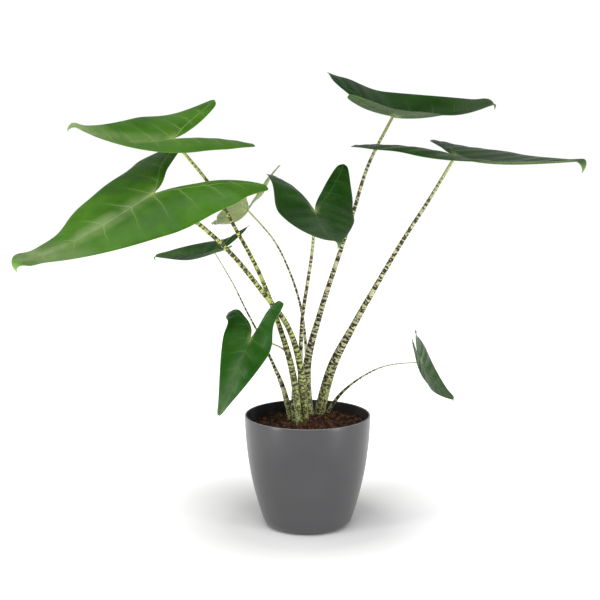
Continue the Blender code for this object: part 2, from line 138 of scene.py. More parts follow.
def newObject(name, mesh, *materials):
    for material in materials:
        mesh.materials.append(material)
    for face in mesh.polygons:
        face.use_smooth = True
    thing = bpy.data.objects.new(name, mesh)
    scene.collection.objects.link(thing)
    return thing


def keep(thing, node):
    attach(thing, "root")
    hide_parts(node)
    return thing


def easeStep(value):
    held = np.clip(value, 0.0, 1.0)
    return held * held * (3.0 - 2.0 * held)


def throughPoints(points, places):
    knots = np.asarray(points, float)
    padded = np.vstack([2.0 * knots[0] - knots[1], knots, 2.0 * knots[-1] - knots[-2]])
    span = np.clip(np.asarray(places, float), 0.0, len(knots) - 1.000001)
    index = span.astype(int)
    t = (span - index)[:, None]
    a, b, c, d = padded[index], padded[index + 1], padded[index + 2], padded[index + 3]
    return 0.5 * (2.0 * b + (c - a) * t + (2.0 * a - 5.0 * b + 4.0 * c - d) * t ** 2
                  + (3.0 * b - a - 3.0 * c + d) * t ** 3)


def meshFromRings(name, rings):
    # rings are equally long lists of points, joined one to the next and closed at both ends
    points = [p for ring in rings for p in ring]
    count = len(rings[0])
    faces = []
    for step in range(len(rings) - 1):
        low, high = step * count, (step + 1) * count
        for turn in range(count):
            after = (turn + 1) % count
            faces.append((low + turn, low + after, high + after, high + turn))
    faces.append(tuple(reversed(range(count))))
    faces.append(tuple(range(len(points) - count, len(points))))
    mesh = bpy.data.meshes.new(name)
    mesh.from_pydata([tuple(float(v) for v in p) for p in points], [], faces)
    return mesh


potShape = {
    "rimRadius": 0.1013,
    "height": 0.1815,
    "footRadius": 0.0688,
    "wall": 0.0026,
    "footRounding": 0.018,
    "footSweep": 72.0,
    "footFlat": 0.03,        # radius of the flat middle of the foot
    "centre": 0.0005,        # radius of the small cap that closes the foot
    "floor": 0.004,
    "turns": 160,
    "steps": 34,
    "arcSteps": 12,
}
potFinish = {
    "colours": ((0.034, 0.033, 0.036), (0.040, 0.039, 0.042)),
    "cloudScale": 18.0,
    "paintedFootLightColour": (0.092, 0.091, 0.095),  # painted light: the low wall is made paler, standing in for light bounced from the floor
    "paintedFootLightTop": 0.13,
    "paintedFootLightStrength": 0.6,
    "paintedLipHighlightColour": (0.17, 0.17, 0.178),  # painted highlight along the lip
    "paintedLipHighlightBand": (0.0013, 0.0009),  # how far below the top the painted highlight band starts, and its fade
    "roughness": 0.26,
    "roughDrift": 0.08,
    "gloss": 0.44,
    "grainScale": 900.0,
    "grainDepth": 0.00006,
}


def potRadius(height):
    share = 1.0 - height / potShape["height"]
    return potShape["rimRadius"] - (potShape["rimRadius"] - potShape["footRadius"]) * share ** 2


def potMaterial():
    finish = potFinish
    material, tree, shader = newMaterial("potSatin")
    place = objectPlace(tree)
    cloud = noise(tree, place, finish["cloudScale"], 2.0)
    grain = noise(tree, place, finish["grainScale"], 2.0)
    base = ramp(tree, cloud, ((0.3, finish["colours"][0]), (0.7, finish["colours"][1])))
    apart = addNode(tree, "ShaderNodeSeparateXYZ")
    tree.links.new(place, apart.inputs[0])
    height = apart.outputs[2]
    # painted light: the wall is made paler toward the foot
    paintedFootLight = times(tree, nearTo(tree, height, finish["paintedFootLightTop"]), finish["paintedFootLightStrength"])
    base = mixColour(tree, paintedFootLight, base, (*finish["paintedFootLightColour"], 1.0))
    # painted highlight: a pale band along the top of the lip
    start, fade = finish["paintedLipHighlightBand"]
    overStart = mathNode(tree, "SUBTRACT", height, potShape["height"] - start)
    paintedLipHighlight = mathNode(tree, "DIVIDE", overStart, fade, clamp=True)
    base = mixColour(tree, paintedLipHighlight, base, (*finish["paintedLipHighlightColour"], 1.0))
    tree.links.new(base, shader.inputs["Base Color"])
    rough = mathNode(tree, "MULTIPLY_ADD", cloud, finish["roughDrift"], finish["roughness"])
    tree.links.new(rough, shader.inputs["Roughness"])
    shader.inputs["Specular IOR Level"].default_value = finish["gloss"]
    bump(tree, shader, grain, finish["grainDepth"], 0.6)
    return material


def footArc(height, inset):
    # from the flat floor up to the leaning wall
    sweep, reach = math.radians(potShape["footSweep"]), potShape["footRounding"]
    centre = potRadius(height + reach * (1.0 - math.cos(sweep))) - inset - reach * math.sin(sweep)
    steps = potShape["arcSteps"]
    angles = [sweep * step / steps for step in range(steps + 1)]
    return [(centre + reach * math.sin(a), height + reach * (1.0 - math.cos(a))) for a in angles]


def makePot():
    centre, flat, floor = potShape["centre"], potShape["footFlat"], potShape["floor"]
    profile = [(centre, 0.0), (flat, 0.0), *footArc(0.0, 0.0)]
    rounding = profile[-1][1]
    lip = 0.5 * potShape["wall"]
    middle = potShape["height"] - lip
    steps, arcSteps = potShape["steps"], potShape["arcSteps"]
    for step in range(1, steps):
        height = rounding + (middle - rounding) * step / steps
        profile.append((potRadius(height), height))
    for step in range(arcSteps + 1):
        angle = math.pi * step / arcSteps
        radius = potRadius(middle) - lip + lip * math.cos(angle)
        profile.append((radius, middle + lip * math.sin(angle)))
    inner = footArc(floor, potShape["wall"])
    for step in range(steps, 0, -1):
        height = inner[-1][1] + (middle - inner[-1][1]) * step / (steps + 1)
        profile.append((potRadius(height) - potShape["wall"], height))
    profile += [*reversed(inner), (flat, floor), (centre, floor)]
    turns = [2.0 * math.pi * turn / potShape["turns"] for turn in range(potShape["turns"])]
    rings = [[(r * math.cos(a), r * math.sin(a), height) for a in turns] for r, height in profile]
    pot = newObject("plantPot", meshFromRings("plantPot", rings), potMaterial())
    return keep(pot, "pot")


soilShape = {
    "level": 0.161,
    "tilt": 0.022,
    "mound": 0.008,
    "moundCentre": (0.008, 0.038),
    "moundSpread": 0.034,
    "lumpHeight": 0.0013,
    "fineHeight": 0.0012,
    "edge": 0.0975,
    "skirt": (0.985, 0.02),  # the hidden side narrows by this share, this far down
    "rings": 60,
    "turns": 200,
}
crumbShape = {
    "count": 1300,
    "sizes": (0.0009, 0.0012, 0.0016, 0.0021, 0.0028, 0.0037),
    "stretch": (0.6, 1.4),
    "lumpy": (0.8, 1.15),
    "flatter": 0.7,
    "rise": 0.3,             # share of its size that a crumb's middle stands above the soil
    "inset": 0.003,
}
fibreShape = {
    "count": 420,
    "steps": 5,
    "length": (0.004, 0.013),
    "bend": (-1.6, 1.6),
    "thick": (0.00018, 0.00036),
    "lift": (0.0002, 0.0016),
    "rise": 0.0004,
    "taper": 0.6,
    "ridge": 1.6,
    "inset": 0.0006,
}
soilColours = {
    # dark and light
    "dampPeat": ((0.003, 0.0015, 0.001), (0.070, 0.026, 0.011)),
    "cocoCrumb": ((0.005, 0.003, 0.002), (0.21, 0.098, 0.048)),
    "coirFibre": ((0.03, 0.013, 0.007), (0.22, 0.10, 0.045)),
}


def soilHeight(x, y):
    away = (x - soilShape["moundCentre"][0]) ** 2 + (y - soilShape["moundCentre"][1]) ** 2
    mound = soilShape["mound"] * math.exp(-away / (2.0 * soilShape["moundSpread"] ** 2))
    lumps = math.sin(310.0 * x + 1.3) * math.sin(270.0 * y + 0.4) + 0.6 * math.sin(520.0 * x - 410.0 * y)
    fineX = math.sin(1100.0 * x + 3.0 * math.sin(700.0 * y))
    fineY = math.sin(1250.0 * y + 2.0 * math.sin(640.0 * x))
    rough = soilShape["lumpHeight"] * lumps + soilShape["fineHeight"] * 0.5 * fineX * fineY
    return soilShape["level"] + soilShape["tilt"] * x + mound + rough


def soilMaterial(name):
    dark, light = soilColours[name]
    middle = tuple(0.5 * (a + b) for a, b in zip(dark, light))
    material, tree, shader = newMaterial(name)
    place = objectPlace(tree)
    coarse = noise(tree, place, 130.0, 5.0, 0.65)
    fine = noise(tree, place, 700.0, 4.0, 0.6)
    mixed = mathNode(tree, "MULTIPLY_ADD", fine, 0.5, times(tree, coarse, 0.5))
    colour = ramp(tree, mixed, ((0.36, dark), (0.52, middle), (0.66, light)))
    tree.links.new(colour, shader.inputs["Base Color"])
    shader.inputs["Roughness"].default_value = 0.92
    shader.inputs["Specular IOR Level"].default_value = 0.25
    bump(tree, shader, mixed, 0.0016, 0.9)
    return material


def makeSoil():
    rings = []
    for ring in range(1, soilShape["rings"] + 1):
        radius = soilShape["edge"] * ring / soilShape["rings"]
        row = []
        for turn in range(soilShape["turns"]):
            angle = 2.0 * math.pi * turn / soilShape["turns"]
            x, y = radius * math.cos(angle), radius * math.sin(angle)
            row.append((x, y, soilHeight(x, y)))
        rings.append(row)
    narrow, down = soilShape["skirt"]
    rings.append([(narrow * x, narrow * y, soilShape["level"] - down) for x, y, _ in rings[-1]])
    soil = newObject("soilBed", meshFromRings("soilBed", rings), soilMaterial("dampPeat"))
    return keep(soil, "soil")


def looseSoil(name, points, faces, look):
    mesh = bpy.data.meshes.new(name)
    mesh.from_pydata(points, [], faces)
    loose = newObject(name, mesh, soilMaterial(look))
    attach(loose, "root")


def freeSoilSpot():
    angle = random.uniform(0.0, 2.0 * math.pi)
    radius = (soilShape["edge"] - crumbShape["inset"]) * math.sqrt(random.random())
    return radius * math.cos(angle), radius * math.sin(angle)


def makeCrumbs():
    ball = bmesh.new()
    bmesh.ops.create_icosphere(ball, subdivisions=1, radius=1.0)
    shape = [v.co.copy() for v in ball.verts]
    links = [tuple(v.index for v in f.verts) for f in ball.faces]
    ball.free()
    points, faces = [], []
    for _ in range(crumbShape["count"]):
        x, y = freeSoilSpot()
        size = random.choice(crumbShape["sizes"])
        stretch = [size * random.uniform(*crumbShape["stretch"]) for _ in range(3)]
        spin = random.uniform(0.0, math.pi)
        z = soilHeight(x, y) + crumbShape["rise"] * size
        start = len(points)
        for corner in shape:
            lumpy = random.uniform(*crumbShape["lumpy"])
            a, b = corner.x * stretch[0] * lumpy, corner.y * stretch[1] * lumpy
            points.append((x + a * math.cos(spin) - b * math.sin(spin),
                           y + a * math.sin(spin) + b * math.cos(spin),
                           z + corner.z * crumbShape["flatter"] * stretch[2] * lumpy))
        faces += [tuple(start + i for i in link) for link in links]
    looseSoil("soilCrumbs", points, faces, "cocoCrumb")


def makeFibres():
    steps = fibreShape["steps"]
    edge = soilShape["edge"] - fibreShape["inset"]
    points, faces = [], []
    for _ in range(fibreShape["count"]):
        x, y = freeSoilSpot()
        heading = random.uniform(0.0, 2.0 * math.pi)
        ranges = (fibreShape[key] for key in ("length", "bend", "thick", "lift"))
        length, bend, thick, lift = (random.uniform(*limits) for limits in ranges)
        start = len(points)
        for step in range(steps + 1):
            share = step / steps
            z = soilHeight(x, y) + fibreShape["rise"] + lift * math.sin(math.pi * share)
            width = thick * (1.0 - fibreShape["taper"] * share)
            sideX, sideY = -math.sin(heading) * width, math.cos(heading) * width
            points += [(x + sideX, y + sideY, z), (x - sideX, y - sideY, z),
                       (x, y, z + fibreShape["ridge"] * width)]
            heading += bend / steps
            x += math.cos(heading) * length / steps
            y += math.sin(heading) * length / steps
            reach = math.hypot(x, y)
            if reach > edge:
                x, y = x * edge / reach, y * edge / reach
        for step in range(steps):
            low, high = start + 3 * step, start + 3 * step + 3
            faces += [(low + a, low + b, high + b, high + a) for a, b in ((0, 1), (1, 2), (2, 0))]
        last = start + 3 * steps
        faces += [(start + 2, start + 1, start), (last, last + 1, last + 2)]
    looseSoil("soilFibres", points, faces, "coirFibre")


def dressCorm():
    material, tree, shader = newMaterial("cormSkin")
    place = objectPlace(tree)
    bark = noise(tree, place, 90.0, 5.0, 0.6)
    colour = ramp(tree, bark, ((0.3, (0.06, 0.03, 0.015)), (0.7, (0.24, 0.15, 0.08))))
    tree.links.new(colour, shader.inputs["Base Color"])
    shader.inputs["Roughness"].default_value = 0.85
    bump(tree, shader, bark, 0.001)
    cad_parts["corm"].material_slots[0].material = material


# half outline of a blade of unit length: tip, shoulder, rear lobe's tip
marginLine = (
    (1.000, 0.000), (0.945, 0.018), (0.840, 0.062), (0.670, 0.137), (0.480, 0.222), (0.290, 0.302),
    (0.100, 0.368), (-0.080, 0.392), (-0.270, 0.376), (-0.450, 0.328), (-0.602, 0.264), (-0.625, 0.205),
)
# midrib back to the stalk, then the lobe's own main vein
spineLine = (
    (1.000, 0.000), (0.900, 0.000), (0.760, 0.000), (0.560, 0.000), (0.360, 0.000), (0.160, 0.000),
    (0.000, 0.000), (-0.140, 0.075), (-0.280, 0.130), (-0.430, 0.175), (-0.550, 0.200), (-0.625, 0.205),
)
# edge of the notch between the lobes
notchLine = (
    (0.000, 0.000), (-0.120, 0.022), (-0.270, 0.050), (-0.430, 0.092), (-0.585, 0.146), (-0.625, 0.205),
)

bladeShape = {
    "joint": 6,              # the outline station level with the stalk
    "cellsPerSpan": 8,
    "cellsAcross": 14,
    "lobeCells": 7,
    "hookStart": 0.90,
    "lobeBlendStart": -0.35,
    "lobeBlend": 0.50,
    "splayBlend": 0.30,
    "bluntPlace": 0.93,
    "bluntSpread": 0.07,
    "thickness": 0.0007,
    "edgeThickness": 0.0005,
    "midribHeight": 0.0019,  # how far the midrib stands out below
    "midribWidth": 0.0026,
    "midribPower": 0.8,      # how it thins toward the tip
    "midribLobe": 0.5,       # share of the blade over which the lobe's main vein thins
    "lobeRidge": 0.8,
    "midribMargin": 0.003,
    "quilt": 0.0011,         # swell between the side veins
    "quiltMargin": 0.012,    # it fades this near the margin
    "quiltSpine": 0.008,     # and this near the midrib
    "crease": 0.0005,        # groove along the midrib
    "creaseWidth": 0.0022,
    "creaseMargin": 0.01,
    "wave": 0.0016,          # how far the margins wave up and down
    "waveAlong": 9.0,
    "waveRibs": 1.7,
    "calmEnd": 0.93,         # no swell or wave past here
    "calmLength": 0.15,
    "edgeTaper": 0.004,      # the margin thins over this width
    "usualLength": 0.2,      # the midrib's height is for a blade this long
}

blades = {
    "frontLeft": {
        "node": "blade_front_left", "look": "bright", "joint": (-0.228, -0.130, 0.541), "length": 0.245,
        "heading": -142.5, "droop": 27, "roll": -10, "width": 0.95, "lobe": 0.85, "splay": 0.38,
        "arch": 12, "archEnd": -38, "hook": 124, "fold": (-8, 13), "rear": (11, 11), "curl": (-61, -33),
        "lobeBend": (52, 17), "twist": -3, "blunt": 1.30,
        "fullness": (
            # place, spread, left, right
            (-0.30, 0.20, 0.10, 0.0), (-0.08, 0.16, 0.10, 0.0),
            (0.38, 0.12, 0.0, 0.06), (0.62, 0.12, 0.0, -0.16)),
    },
    "upperLeft": {
        "node": "blade_upper_left", "look": "bright", "joint": (-0.207, -0.045, 0.621), "length": 0.185,
        "heading": -143.5, "droop": 9.5, "roll": -19.5, "width": 1.04, "lobe": 1.00, "splay": 0.10,
        "arch": -32, "archEnd": -5, "hook": 92, "fold": (14, 23), "rear": (11, 16), "curl": (-38, -56),
        "lobeBend": (32, -41), "twist": -7, "blunt": 0.5,
    },
    "centre": {
        "node": "blade_centre", "look": "dark", "joint": (0.010, -0.090, 0.515), "length": 0.177,
        "heading": -84, "droop": 22.5, "roll": -25.5, "width": 0.90, "lobe": 1.30, "splay": 0.14,
        "arch": -19, "archEnd": -11, "hook": 100, "fold": (19, -9), "rear": (16, 7), "curl": (-20, -39),
        "lobeBend": (-33, 33), "twist": 4, "blunt": 0.4,
    },
    "topRight": {
        "node": "blade_top_right", "look": "dark", "joint": (0.137, 0.050, 0.658), "length": 0.214,
        "heading": 31.5, "droop": 6, "roll": 15.5, "width": 1.00, "lobe": 0.92, "splay": 0.00,
        "arch": -47, "archEnd": 30, "hook": 94, "fold": (21, 25), "rear": (33, 14), "curl": (-21, -18),
        "lobeBend": (-48, -20), "twist": 17, "blunt": 0.7,
    },
    "right": {
        "node": "blade_right", "look": "dark", "joint": (0.226, -0.040, 0.596), "length": 0.255,
        "heading": -53.5, "droop": 12, "roll": -4, "width": 0.97, "lobe": 0.88, "splay": 0.21,
        "arch": -39, "archEnd": 26, "hook": 110, "fold": (14, 7), "rear": (8, 4), "curl": (-18, -42),
        "lobeBend": (4, 29), "twist": 5, "blunt": 0.7,
    },
    "lowerLeft": {
        "node": "blade_lower_left", "look": "mid", "joint": (-0.090, -0.030, 0.310), "length": 0.139,
        "heading": -134, "droop": 58.5, "roll": -47.5, "width": 0.81, "lobe": 1.09, "splay": 0.56,
        "arch": 26, "archEnd": 6, "hook": 73, "fold": (46, 10), "rear": (86, -13), "curl": (-94, -83),
        "lobeBend": (-48, 81), "twist": -16, "blunt": 0.3,
    },
    "backLeft": {
        "node": "blade_back_left", "look": "mid", "joint": (-0.154, 0.080, 0.436), "length": 0.133,
        "heading": 147.5, "droop": 12, "roll": -18, "width": 1.07, "lobe": 0.77, "splay": 0.08,
        "arch": -29, "archEnd": 25, "hook": 92, "fold": (21, 18), "rear": (20, 29), "curl": (-40, -63),
        "lobeBend": (-13, -49), "twist": -8, "blunt": 0.3,
    },
    "back": {
        "node": "blade_back", "look": "pale", "joint": (-0.100, 0.110, 0.504), "length": 0.125,
        "heading": 116, "droop": 33, "roll": -27.5, "width": 1.15, "lobe": 1.06, "splay": 0.22,
        "arch": -41, "archEnd": -8, "hook": 91, "fold": (30, 24), "rear": (19, 33), "curl": (-27, -44),
        "lobeBend": (-2, 7), "twist": -4, "blunt": 0.3,
    },
    "lowerRight": {
        "node": "blade_lower_right", "look": "dark", "joint": (0.185, 0.020, 0.262), "length": 0.115,
        "heading": 62, "droop": 50.5, "roll": 71.5, "width": 0.97, "lobe": 0.90, "splay": -0.21,
        "arch": -43, "archEnd": 9, "hook": 88, "fold": (14, 18), "rear": (5, 3), "curl": (-32, -19),
        "lobeBend": (-22, 2), "twist": 10, "blunt": 0.3,
    },
}

# the last colour of each look is a painted sheen
bladeColours = {
    "bright": {
        "deep": (0.027, 0.098, 0.004), "fresh": (0.058, 0.168, 0.009), "vein": (0.26, 0.38, 0.13),
        "edge": (0.15, 0.30, 0.05), "under": (0.13, 0.24, 0.06), "paintedSheen": (0.300, 0.370, 0.180),
    },
    "mid": {
        "deep": (0.006, 0.042, 0.002), "fresh": (0.019, 0.080, 0.006), "vein": (0.10, 0.20, 0.05),
        "edge": (0.12, 0.24, 0.05), "under": (0.075, 0.140, 0.040), "paintedSheen": (0.085, 0.150, 0.060),
    },
    "dark": {
        "deep": (0.005, 0.028, 0.002), "fresh": (0.016, 0.058, 0.006), "vein": (0.06, 0.13, 0.04),
        "edge": (0.13, 0.22, 0.06), "under": (0.042, 0.088, 0.016), "paintedSheen": (0.072, 0.105, 0.056),
    },
    "pale": {
        "deep": (0.10, 0.17, 0.03), "fresh": (0.19, 0.28, 0.06), "vein": (0.30, 0.38, 0.14),
        "edge": (0.20, 0.28, 0.09), "under": (0.22, 0.27, 0.10), "paintedSheen": (0.36, 0.42, 0.24),
    },
}
bladeFinish = {
    "cloudScale": 26.0,
    "patchScale": 9.0,
    "greenRange": (0.36, 0.62),  # where the deep green turns fresh
    "underShades": (0.85, 1.12),
    "paintedSheenReach": 0.022,  # width of the painted grey sheen beside the midrib
    "paintedSheenBeside": 0.75,
    "paintedSheenTip": (2.1, -1.05),  # slope and start toward the tip
    "paintedSheenPatches": (3.0, -0.75),
    "paintedSheenPatchScale": 16.0,
    "paintedSheenFront": (2.2, 0.35),  # none on the rear lobes
    "paintedSheenStrength": 0.82,
    "veinPhase": 0.39,
    "veinWobble": 0.22,  # how far the side veins wander
    "veinWobbleScale": 34.0,
    "veinWidth": 0.036,  # in shares of the space between two side veins
    "veinReach": (0.10, 0.78),  # where across the blade the side veins fade
    "veinStrength": 0.60,
    "haloWidth": 0.20,
    "haloStrength": 0.10,
    "spineWidth": 0.0015,
    "spineFade": (-0.75, 0.85),
    "spineStrength": 0.75,
    "rimWidth": 0.0010,
    "rimStrength": 0.6,
    "hookStart": 0.92,
    "hookRise": 14.0,
    "hookStrength": 0.8,
    "collarColour": (0.34, 0.42, 0.15),  # pale patch round the stalk's joint
    "collarLength": 0.09,
    "collarUpper": (0.008, 0.55),  # its width and strength on the upper face
    "collarUnder": (0.016, 0.75),
    "glossUpper": 0.08,
    "glossUnder": 0.15,
    "roughUpper": 0.23,
    "roughUnder": 0.52,
    "roughDrift": 0.20,
    "reliefScales": (70.0, 260.0),
    "reliefShares": (0.9, 0.25),
    "reliefDepth": 0.0006,
}
fleshFinish = {"weight": 0.04, "radius": (0.002, 0.003, 0.001)}  # light that passes through the skin


def softenFlesh(shader):
    shader.inputs["Subsurface Weight"].default_value = fleshFinish["weight"]
    shader.inputs["Subsurface Radius"].default_value = fleshFinish["radius"]


def upperGreen(tree, colours, place, cloud, spineGap, tipShare):
    finish = bladeFinish
    patch = noise(tree, place, finish["patchScale"], 2.0)
    blended = mathNode(tree, "MULTIPLY_ADD", cloud, 0.5, times(tree, patch, 0.5))
    low, high = finish["greenRange"]
    leaf = ramp(tree, blended, ((low, colours["deep"]), (high, colours["fresh"])))
    # painted sheen: greyish colour beside the midrib and toward the tip
    beside = times(tree, nearTo(tree, spineGap, finish["paintedSheenReach"]), finish["paintedSheenBeside"])
    towardTip = slope(tree, tipShare, *finish["paintedSheenTip"])
    mottle = slope(tree, noise(tree, place, finish["paintedSheenPatchScale"], 3.0, 0.6), *finish["paintedSheenPatches"])
    paintedSheen = times(tree, mathNode(tree, "MAXIMUM", beside, towardTip), mottle)
    paintedSheen = times(tree, paintedSheen, slope(tree, tipShare, *finish["paintedSheenFront"]))
    return mixColour(tree, times(tree, paintedSheen, finish["paintedSheenStrength"]), leaf, (*colours["paintedSheen"], 1.0))


def underGreen(tree, colours, cloud):
    low, high = (tuple(shade * c for c in colours["under"]) for shade in bladeFinish["underShades"])
    return ramp(tree, cloud, ((0.3, low), (0.7, high)))


def sideVeins(tree, place):
    # they sit at whole numbers of ribPhase and sweep forward as they leave the midrib
    finish = bladeFinish
    drift = noise(tree, place, finish["veinWobbleScale"], 2.0)
    wandered = mathNode(tree, "MULTIPLY_ADD", drift, finish["veinWobble"], attribute(tree, "ribPhase"))
    phase = mathNode(tree, "FRACT", mathNode(tree, "ADD", wandered, finish["veinPhase"]))
    offset = mathNode(tree, "ABSOLUTE", mathNode(tree, "SUBTRACT", phase, 0.5))
    start, end = finish["veinReach"]
    left = mathNode(tree, "SUBTRACT", end, attribute(tree, "acrossShare"))
    fade = mathNode(tree, "DIVIDE", left, end - start, clamp=True)
    line = times(tree, nearTo(tree, offset, finish["veinWidth"]), fade)
    halo = times(tree, nearTo(tree, offset, finish["haloWidth"]), fade)
    return line, halo


def bladeMaterial(look, upper):
    finish, colours = bladeFinish, bladeColours[look]
    name = "blade" + look.capitalize() + ("Upper" if upper else "Under")
    material, tree, shader = newMaterial(name)
    place = objectPlace(tree)
    spineGap, tipShare = attribute(tree, "spineGap"), attribute(tree, "tipShare")
    fromJoint = mathNode(tree, "ABSOLUTE", tipShare)
    cloud = noise(tree, place, finish["cloudScale"], 4.0, 0.6)
    if upper:
        leaf = upperGreen(tree, colours, place, cloud, spineGap, tipShare)
    else:
        leaf = underGreen(tree, colours, cloud)
    sideVein, halo = sideVeins(tree, place)
    mainFade = mathNode(tree, "MULTIPLY_ADD", fromJoint, *finish["spineFade"])
    mainVein = times(tree, nearTo(tree, spineGap, finish["spineWidth"]), mainFade)
    sideShare = times(tree, sideVein, finish["veinStrength"])
    mainShare = times(tree, mainVein, finish["spineStrength"])
    veins = mathNode(tree, "MAXIMUM", sideShare, mainShare)
    veins = mathNode(tree, "MAXIMUM", veins, times(tree, halo, finish["haloStrength"]))
    leaf = mixColour(tree, veins, leaf, (*colours["vein"], 1.0))
    rim = times(tree, nearTo(tree, attribute(tree, "edgeGap"), finish["rimWidth"]), finish["rimStrength"])
    leaf = mixColour(tree, rim, leaf, (*colours["edge"], 1.0))
    hook = above(tree, tipShare, finish["hookStart"], finish["hookRise"])
    leaf = mixColour(tree, times(tree, hook, finish["hookStrength"]), leaf, (*colours["edge"], 1.0))
    width, strength = finish["collarUpper" if upper else "collarUnder"]
    collar = times(tree, nearTo(tree, spineGap, width), nearTo(tree, fromJoint, finish["collarLength"]))
    leaf = mixColour(tree, times(tree, collar, strength), leaf, (*finish["collarColour"], 1.0))
    tree.links.new(leaf, shader.inputs["Base Color"])
    least = finish["roughUpper" if upper else "roughUnder"]
    rough = mathNode(tree, "MULTIPLY_ADD", cloud, finish["roughDrift"], least)
    tree.links.new(rough, shader.inputs["Roughness"])
    shader.inputs["Specular IOR Level"].default_value = finish["glossUpper" if upper else "glossUnder"]
    softenFlesh(shader)
    veinLines = mathNode(tree, "MAXIMUM", sideVein, mainVein)
    grooves = times(tree, veinLines, 1.0 if upper else -1.0)  # sunk above, raised below
    (broadScale, fineScale), (broadShare, fineShare) = finish["reliefScales"], finish["reliefShares"]
    broad = times(tree, noise(tree, place, broadScale, 2.0), broadShare)
    fine = mathNode(tree, "MULTIPLY_ADD", noise(tree, place, fineScale, 3.0), fineShare, broad)
    bump(tree, shader, mathNode(tree, "SUBTRACT", fine, grooves), finish["reliefDepth"], 0.8)
    return material


def turnMatrix(blade):
    angles = [math.radians(blade[key]) for key in ("heading", "droop", "roll")]
    (c, s), (cosDip, sinDip), (cosLean, sinLean) = ((math.cos(a), math.sin(a)) for a in angles)
    turn = np.array(((c, -s, 0), (s, c, 0), (0, 0, 1)))
    dip = np.array(((cosDip, 0, sinDip), (0, 1, 0), (-sinDip, 0, cosDip)))
    lean = np.array(((1, 0, 0), (0, cosLean, -sinLean), (0, sinLean, cosLean)))
    return turn @ dip @ lean


def bendBlade(blade, flat, side):
    # side 0 is the blade's left half, 1 its right
    behind = np.clip(-flat[:, 0], 0.0, None)
    nearTip = np.exp(-((flat[:, 0] - bladeShape["bluntPlace"]) / bladeShape["bluntSpread"]) ** 2)
    y = flat[:, 1] * blade["width"] * (1.0 + blade["blunt"] * nearTip)
    for place, spread, *amount in blade.get("fullness", ()):
        y = y * (1.0 + amount[side] * np.exp(-((flat[:, 0] - place) / spread) ** 2))
    y = y + blade["splay"] * behind * easeStep(behind / bladeShape["splayBlend"])
    x = np.where(flat[:, 0] < 0.0, flat[:, 0] * blade["lobe"], flat[:, 0])
    along = np.linspace(-1.0, 1.0, 401)
    hook = blade["hook"] * easeStep((along - bladeShape["hookStart"]) / (1.0 - bladeShape["hookStart"]))
    front = blade["arch"] * along + blade["archEnd"] * along ** 2 + hook
    angle = np.radians(np.where(along >= 0.0, front, blade["lobeBend"][side] * along))
    half = 0.5 * (angle[1:] + angle[:-1])
    step = along[1] - along[0]
    forward = np.concatenate(([0.0], np.cumsum(np.cos(half)) * step))
    down = np.concatenate(([0.0], np.cumsum(np.sin(half)) * step))
    middle = len(along) // 2
    baseX = np.interp(x, along, forward - forward[middle])
    baseZ = np.interp(x, along, down[middle] - down)
    pitch = np.interp(x, along, angle)
    share = easeStep((x - bladeShape["lobeBlendStart"]) / bladeShape["lobeBlend"])
    fold = np.radians(blade["fold"][side] * share + blade["rear"][side] * (1.0 - share))
    curl = math.radians(blade["curl"][side])
    out = (np.sin(fold + curl * y) - np.sin(fold)) / curl
    lift = (np.cos(fold) - np.cos(fold + curl * y)) / curl
    hand = 1.0 if side == 0 else -1.0
    twist = math.radians(blade["twist"]) * x
    across = hand * out * np.cos(twist) - lift * np.sin(twist)
    up = hand * out * np.sin(twist) + lift * np.cos(twist)
    local = np.stack((baseX + up * np.sin(pitch), across, baseZ + up * np.cos(pitch)), -1)
    return np.array(blade["joint"]) + blade["length"] * local @ turnMatrix(blade).T


def lineGap(points, line):
    start, end = line[:-1], line[1:]
    run = end - start
    reach = np.maximum((run ** 2).sum(-1), 1e-12)
    share = np.clip(((points[:, None] - start) * run).sum(-1) / reach, 0.0, 1.0)
    return np.linalg.norm(points[:, None] - (start + share[..., None] * run), axis=-1).min(1)


def bladeSheet(blade):
    perSpan = bladeShape["cellsPerSpan"]
    spans = (len(marginLine) - 1) * perSpan
    places = np.arange(spans + 1) / perSpan
    margin = throughPoints(marginLine, places)
    spine = throughPoints(spineLine, places)
    spine[places <= bladeShape["joint"], 1] = 0.0
    spine[places == bladeShape["joint"]] = 0.0
    notch = throughPoints(notchLine, places[places >= bladeShape["joint"]] - bladeShape["joint"])
    first = bladeShape["joint"] * perSpan
    points, faces, facts = [], [], []
    for side in (0, 1):
        outerStrip = (spine, margin, bladeShape["cellsAcross"], 0)
        notchStrip = (spine[first:], notch, bladeShape["lobeCells"], first)
        for inner, outer, cells, offset in (outerStrip, notchStrip):
            shares = np.linspace(0.0, 1.0, cells + 1)
            flat = (inner[:, None] * (1.0 - shares)[None, :, None] + outer[:, None] * shares[None, :, None])
            rows, columns = flat.shape[:2]
            flat = flat.reshape(-1, 2)
            start = len(points)
            spineGap = lineGap(flat, spine) * blade["length"]
            edgeGap = lineGap(flat, outer) * blade["length"]
            station = np.repeat(places[offset:offset + rows], columns)
            points.extend(bendBlade(blade, flat, side))
            facts.extend(zip(spineGap, edgeGap, station, flat[:, 0], np.tile(shares, rows)))
            flip = (side == 0) != (offset == 0)
            for row in range(rows - 1):
                for cell in range(columns - 1):
                    a = start + row * columns + cell
                    loop = (a, a + 1, a + columns + 1, a + columns)
                    faces.append(loop[::-1] if flip else loop)
    return points, faces, facts


bladeFacts = ("spineGap", "edgeGap", "ribPhase", "tipShare", "acrossShare")


